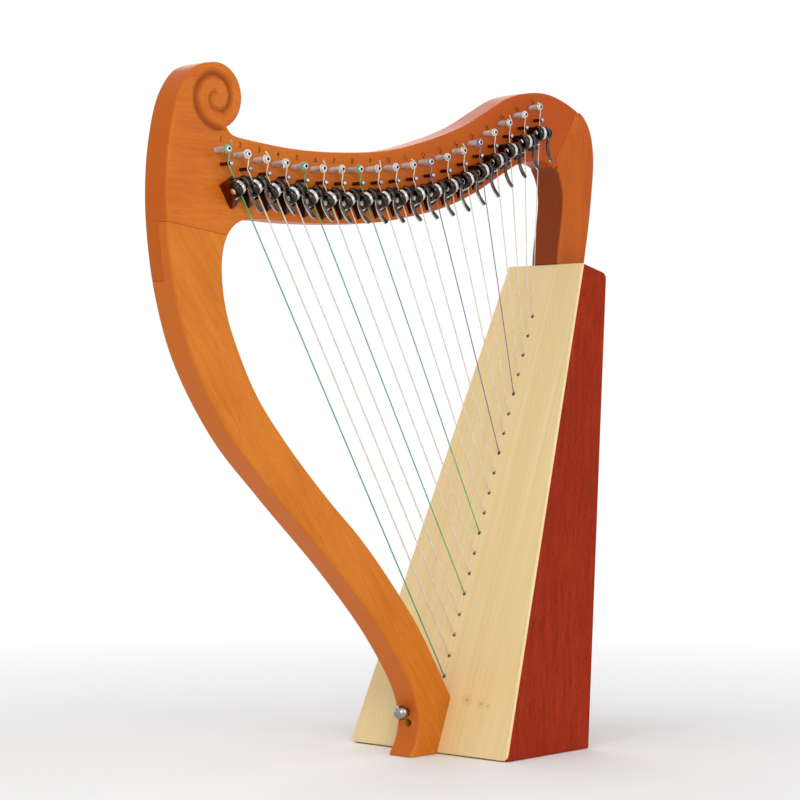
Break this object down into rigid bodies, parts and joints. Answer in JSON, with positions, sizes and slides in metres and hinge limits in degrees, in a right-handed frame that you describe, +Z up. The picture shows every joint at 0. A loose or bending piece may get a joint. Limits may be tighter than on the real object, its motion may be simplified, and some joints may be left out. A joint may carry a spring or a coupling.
{
  "type": "lever harp",
  "caption": "Small floor-or-lap harp with a curved pillar ending in a scroll, a wedge soundbox, nylon strings, tuning pins and sharpening levers.",
  "frame": {"origin": "middle of the bounding box, on the surface that the harp stands on", "axes": "+X from the pillar to the soundbox, +Z up, -Y the side of the strings and levers"},
  "size_m": [0.5158, 0.1808, 0.5776],
  "materials": {
    "frame_wood": "satin varnish",
    "pillar_wood": "satin varnish",
    "shoulder_wood": "satin varnish",
    "soundboard_spruce": "satin varnish",
    "side_mahogany": "satin varnish",
    "inner_wood": "raw",
    "clear_nylon": "clear",
    "green_nylon": "gloss",
    "violet_nylon": "gloss",
    "tuning_pin_steel": "polished",
    "lever_steel": "polished",
    "screw_steel": "dark"
  },
  "bodies": {
    "harp": {"back_panel": "side_mahogany", "bottom_panel": "inner_wood", "foot_screw": "screw_steel", "lap_dowel": "inner_wood", "neck": "frame_wood", "pillar": "pillar_wood", "pillar_block": "inner_wood", "shoulder_block": "shoulder_wood", "shoulder_dowel": "inner_wood", "side_left": "side_mahogany", "side_right": "side_mahogany", "soundboard": "soundboard_spruce", "strap_button": "lever_steel", "string_01_green": "green_nylon", "string_05_green": "green_nylon", "string_08_green": "green_nylon", "string_12_violet": "violet_nylon", "string_15_violet": "violet_nylon", "strings_and_rib": "clear_nylon", "top_block": "inner_wood", "top_dowel": "inner_wood"},
    "tuning_pin_body_01": {"tuning_pin_01": "tuning_pin_steel"},
    "tuning_pin_body_02": {"tuning_pin_02": "tuning_pin_steel"},
    "tuning_pin_body_03": {"tuning_pin_03": "tuning_pin_steel"},
    "tuning_pin_body_04": {"tuning_pin_04": "tuning_pin_steel"},
    "tuning_pin_body_05": {"tuning_pin_05": "tuning_pin_steel"},
    "tuning_pin_body_06": {"tuning_pin_06": "tuning_pin_steel"},
    "tuning_pin_body_07": {"tuning_pin_07": "tuning_pin_steel"},
    "tuning_pin_body_08": {"tuning_pin_08": "tuning_pin_steel"},
    "tuning_pin_body_09": {"tuning_pin_09": "tuning_pin_steel"},
    "tuning_pin_body_10": {"tuning_pin_10": "tuning_pin_steel"},
    "tuning_pin_body_11": {"tuning_pin_11": "tuning_pin_steel"},
    "tuning_pin_body_12": {"tuning_pin_12": "tuning_pin_steel"},
    "tuning_pin_body_13": {"tuning_pin_13": "tuning_pin_steel"},
    "tuning_pin_body_14": {"tuning_pin_14": "tuning_pin_steel"},
    "tuning_pin_body_15": {"tuning_pin_15": "tuning_pin_steel"},
    "tuning_pin_body_16": {"tuning_pin_16": "tuning_pin_steel"},
    "tuning_pin_body_17": {"tuning_pin_17": "tuning_pin_steel"},
    "tuning_pin_body_18": {"tuning_pin_18": "tuning_pin_steel"},
    "tuning_pin_body_19": {"tuning_pin_19": "tuning_pin_steel"},
    "lever_handle_body_01": {"lever_handle_01": "lever_steel"},
    "lever_handle_body_02": {"lever_handle_02": "lever_steel"},
    "lever_handle_body_03": {"lever_handle_03": "lever_steel"},
    "lever_handle_body_04": {"lever_handle_04": "lever_steel"},
    "lever_handle_body_05": {"lever_handle_05": "lever_steel"},
    "lever_handle_body_06": {"lever_handle_06": "lever_steel"},
    "lever_handle_body_07": {"lever_handle_07": "lever_steel"},
    "lever_handle_body_08": {"lever_handle_08": "lever_steel"},
    "lever_handle_body_09": {"lever_handle_09": "lever_steel"},
    "lever_handle_body_10": {"lever_handle_10": "lever_steel"},
    "lever_handle_body_11": {"lever_handle_11": "lever_steel"},
    "lever_handle_body_12": {"lever_handle_12": "lever_steel"},
    "lever_handle_body_13": {"lever_handle_13": "lever_steel"},
    "lever_handle_body_14": {"lever_handle_14": "lever_steel"},
    "lever_handle_body_15": {"lever_handle_15": "lever_steel"},
    "lever_handle_body_16": {"lever_handle_16": "lever_steel"},
    "lever_handle_body_17": {"lever_handle_17": "lever_steel"},
    "lever_handle_body_18": {"lever_handle_18": "lever_steel"},
    "lever_handle_body_19": {"lever_handle_19": "lever_steel"}
  },
  "joints": [
    {"name": "tuning_pin_01_turns", "type": "hinge", "parent": "harp", "child": "tuning_pin_body_01", "pos_m": [-0.20674, 0, 0.497], "axis": [0, 1, 0], "continuous": true},
    {"name": "tuning_pin_02_turns", "type": "hinge", "parent": "harp", "child": "tuning_pin_body_02", "pos_m": [-0.18612, 0, 0.49422], "axis": [0, 1, 0], "continuous": true},
    {"name": "tuning_pin_03_turns", "type": "hinge", "parent": "harp", "child": "tuning_pin_body_03", "pos_m": [-0.16535, 0, 0.49186], "axis": [0, 1, 0], "continuous": true},
    {"name": "tuning_pin_04_turns", "type": "hinge", "parent": "harp", "child": "tuning_pin_body_04", "pos_m": [-0.14441, 0, 0.49025], "axis": [0, 1, 0], "continuous": true},
    {"name": "tuning_pin_05_turns", "type": "hinge", "parent": "harp", "child": "tuning_pin_body_05", "pos_m": [-0.12331, 0, 0.48918], "axis": [0, 1, 0], "continuous": true},
    {"name": "tuning_pin_06_turns", "type": "hinge", "parent": "harp", "child": "tuning_pin_body_06", "pos_m": [-0.1021, 0, 0.489], "axis": [0, 1, 0], "continuous": true},
    {"name": "tuning_pin_07_turns", "type": "hinge", "parent": "harp", "child": "tuning_pin_body_07", "pos_m": [-0.08078, 0, 0.48979], "axis": [0, 1, 0], "continuous": true},
    {"name": "tuning_pin_08_turns", "type": "hinge", "parent": "harp", "child": "tuning_pin_body_08", "pos_m": [-0.0594, 0, 0.49126], "axis": [0, 1, 0], "continuous": true},
    {"name": "tuning_pin_09_turns", "type": "hinge", "parent": "harp", "child": "tuning_pin_body_09", "pos_m": [-0.03796, 0, 0.49332], "axis": [0, 1, 0], "continuous": true},
    {"name": "tuning_pin_10_turns", "type": "hinge", "parent": "harp", "child": "tuning_pin_body_10", "pos_m": [-0.01647, 0, 0.49598], "axis": [0, 1, 0], "continuous": true},
    {"name": "tuning_pin_11_turns", "type": "hinge", "parent": "harp", "child": "tuning_pin_body_11", "pos_m": [0.00502, 0, 0.49933], "axis": [0, 1, 0], "continuous": true},
    {"name": "tuning_pin_12_turns", "type": "hinge", "parent": "harp", "child": "tuning_pin_body_12", "pos_m": [0.02646, 0, 0.50358], "axis": [0, 1, 0], "continuous": true},
    {"name": "tuning_pin_13_turns", "type": "hinge", "parent": "harp", "child": "tuning_pin_body_13", "pos_m": [0.04772, 0, 0.5091], "axis": [0, 1, 0], "continuous": true},
    {"name": "tuning_pin_14_turns", "type": "hinge", "parent": "harp", "child": "tuning_pin_body_14", "pos_m": [0.06859, 0, 0.51626], "axis": [0, 1, 0], "continuous": true},
    {"name": "tuning_pin_15_turns", "type": "hinge", "parent": "harp", "child": "tuning_pin_body_15", "pos_m": [0.08905, 0, 0.5248], "axis": [0, 1, 0], "continuous": true},
    {"name": "tuning_pin_16_turns", "type": "hinge", "parent": "harp", "child": "tuning_pin_body_16", "pos_m": [0.10887, 0, 0.53497], "axis": [0, 1, 0], "continuous": true},
    {"name": "tuning_pin_17_turns", "type": "hinge", "parent": "harp", "child": "tuning_pin_body_17", "pos_m": [0.12878, 0, 0.5452], "axis": [0, 1, 0], "continuous": true},
    {"name": "tuning_pin_18_turns", "type": "hinge", "parent": "harp", "child": "tuning_pin_body_18", "pos_m": [0.14943, 0, 0.5541], "axis": [0, 1, 0], "continuous": true},
    {"name": "tuning_pin_19_turns", "type": "hinge", "parent": "harp", "child": "tuning_pin_body_19", "pos_m": [0.17033, 0, 0.5627], "axis": [0, 1, 0], "continuous": true},
    {"name": "lever_01_flips", "type": "hinge", "parent": "harp", "child": "lever_handle_body_01", "pos_m": [-0.19346, -0.02761, 0.46918], "axis": [-0.8384, 0, -0.5451], "range_deg": [0, 95]},
    {"name": "lever_02_flips", "type": "hinge", "parent": "harp", "child": "lever_handle_body_02", "pos_m": [-0.1757, -0.02768, 0.47076], "axis": [-0.8392, 0, -0.5438], "range_deg": [0, 95]},
    {"name": "lever_03_flips", "type": "hinge", "parent": "harp", "child": "lever_handle_body_03", "pos_m": [-0.15551, -0.02756, 0.46926], "axis": [-0.8406, 0, -0.5416], "range_deg": [0, 95]},
    {"name": "lever_04_flips", "type": "hinge", "parent": "harp", "child": "lever_handle_body_04", "pos_m": [-0.13471, -0.0274, 0.46782], "axis": [-0.8428, 0, -0.5382], "range_deg": [0, 95]},
    {"name": "lever_05_flips", "type": "hinge", "parent": "harp", "child": "lever_handle_body_05", "pos_m": [-0.1137, -0.02722, 0.46676], "axis": [-0.8459, 0, -0.5334], "range_deg": [0, 95]},
    {"name": "lever_06_flips", "type": "hinge", "parent": "harp", "child": "lever_handle_body_06", "pos_m": [-0.09256, -0.02704, 0.46656], "axis": [-0.85, 0, -0.5268], "range_deg": [0, 95]},
    {"name": "lever_07_flips", "type": "hinge", "parent": "harp", "child": "lever_handle_body_07", "pos_m": [-0.07136, -0.02686, 0.46732], "axis": [-0.8555, 0, -0.5179], "range_deg": [0, 95]},
    {"name": "lever_08_flips", "type": "hinge", "parent": "harp", "child": "lever_handle_body_08", "pos_m": [-0.05012, -0.02667, 0.46874], "axis": [-0.8621, 0, -0.5068], "range_deg": [0, 95]},
    {"name": "lever_09_flips", "type": "hinge", "parent": "harp", "child": "lever_handle_body_09", "pos_m": [-0.02885, -0.02647, 0.47074], "axis": [-0.87, 0, -0.4931], "range_deg": [0, 95]},
    {"name": "lever_10_flips", "type": "hinge", "parent": "harp", "child": "lever_handle_body_10", "pos_m": [-0.00758, -0.02628, 0.47334], "axis": [-0.8792, 0, -0.4765], "range_deg": [0, 95]},
    {"name": "lever_11_flips", "type": "hinge", "parent": "harp", "child": "lever_handle_body_11", "pos_m": [0.01366, -0.02608, 0.47661], "axis": [-0.8899, 0, -0.4562], "range_deg": [0, 95]},
    {"name": "lever_12_flips", "type": "hinge", "parent": "harp", "child": "lever_handle_body_12", "pos_m": [0.03478, -0.02587, 0.48077], "axis": [-0.9021, 0, -0.4315], "range_deg": [0, 95]},
    {"name": "lever_13_flips", "type": "hinge", "parent": "harp", "child": "lever_handle_body_13", "pos_m": [0.05565, -0.02566, 0.48619], "axis": [-0.916, 0, -0.4013], "range_deg": [0, 95]},
    {"name": "lever_14_flips", "type": "hinge", "parent": "harp", "child": "lever_handle_body_14", "pos_m": [0.07607, -0.02545, 0.49326], "axis": [-0.9309, 0, -0.3652], "range_deg": [0, 95]},
    {"name": "lever_15_flips", "type": "hinge", "parent": "harp", "child": "lever_handle_body_15", "pos_m": [0.096, -0.02524, 0.50172], "axis": [-0.9464, 0, -0.3231], "range_deg": [0, 95]},
    {"name": "lever_16_flips", "type": "hinge", "parent": "harp", "child": "lever_handle_body_16", "pos_m": [0.11523, -0.02504, 0.51182], "axis": [-0.9612, 0, -0.2758], "range_deg": [0, 95]},
    {"name": "lever_17_flips", "type": "hinge", "parent": "harp", "child": "lever_handle_body_17", "pos_m": [0.13448, -0.02484, 0.522], "axis": [-0.975, 0, -0.222], "range_deg": [0, 95]},
    {"name": "lever_18_flips", "type": "hinge", "parent": "harp", "child": "lever_handle_body_18", "pos_m": [0.15436, -0.02463, 0.5309], "axis": [-0.9873, 0, -0.1589], "range_deg": [0, 95]},
    {"name": "lever_19_flips", "type": "hinge", "parent": "harp", "child": "lever_handle_body_19", "pos_m": [0.17438, -0.02441, 0.53955], "axis": [-0.9963, 0, -0.0861], "range_deg": [0, 95]}
  ]
}
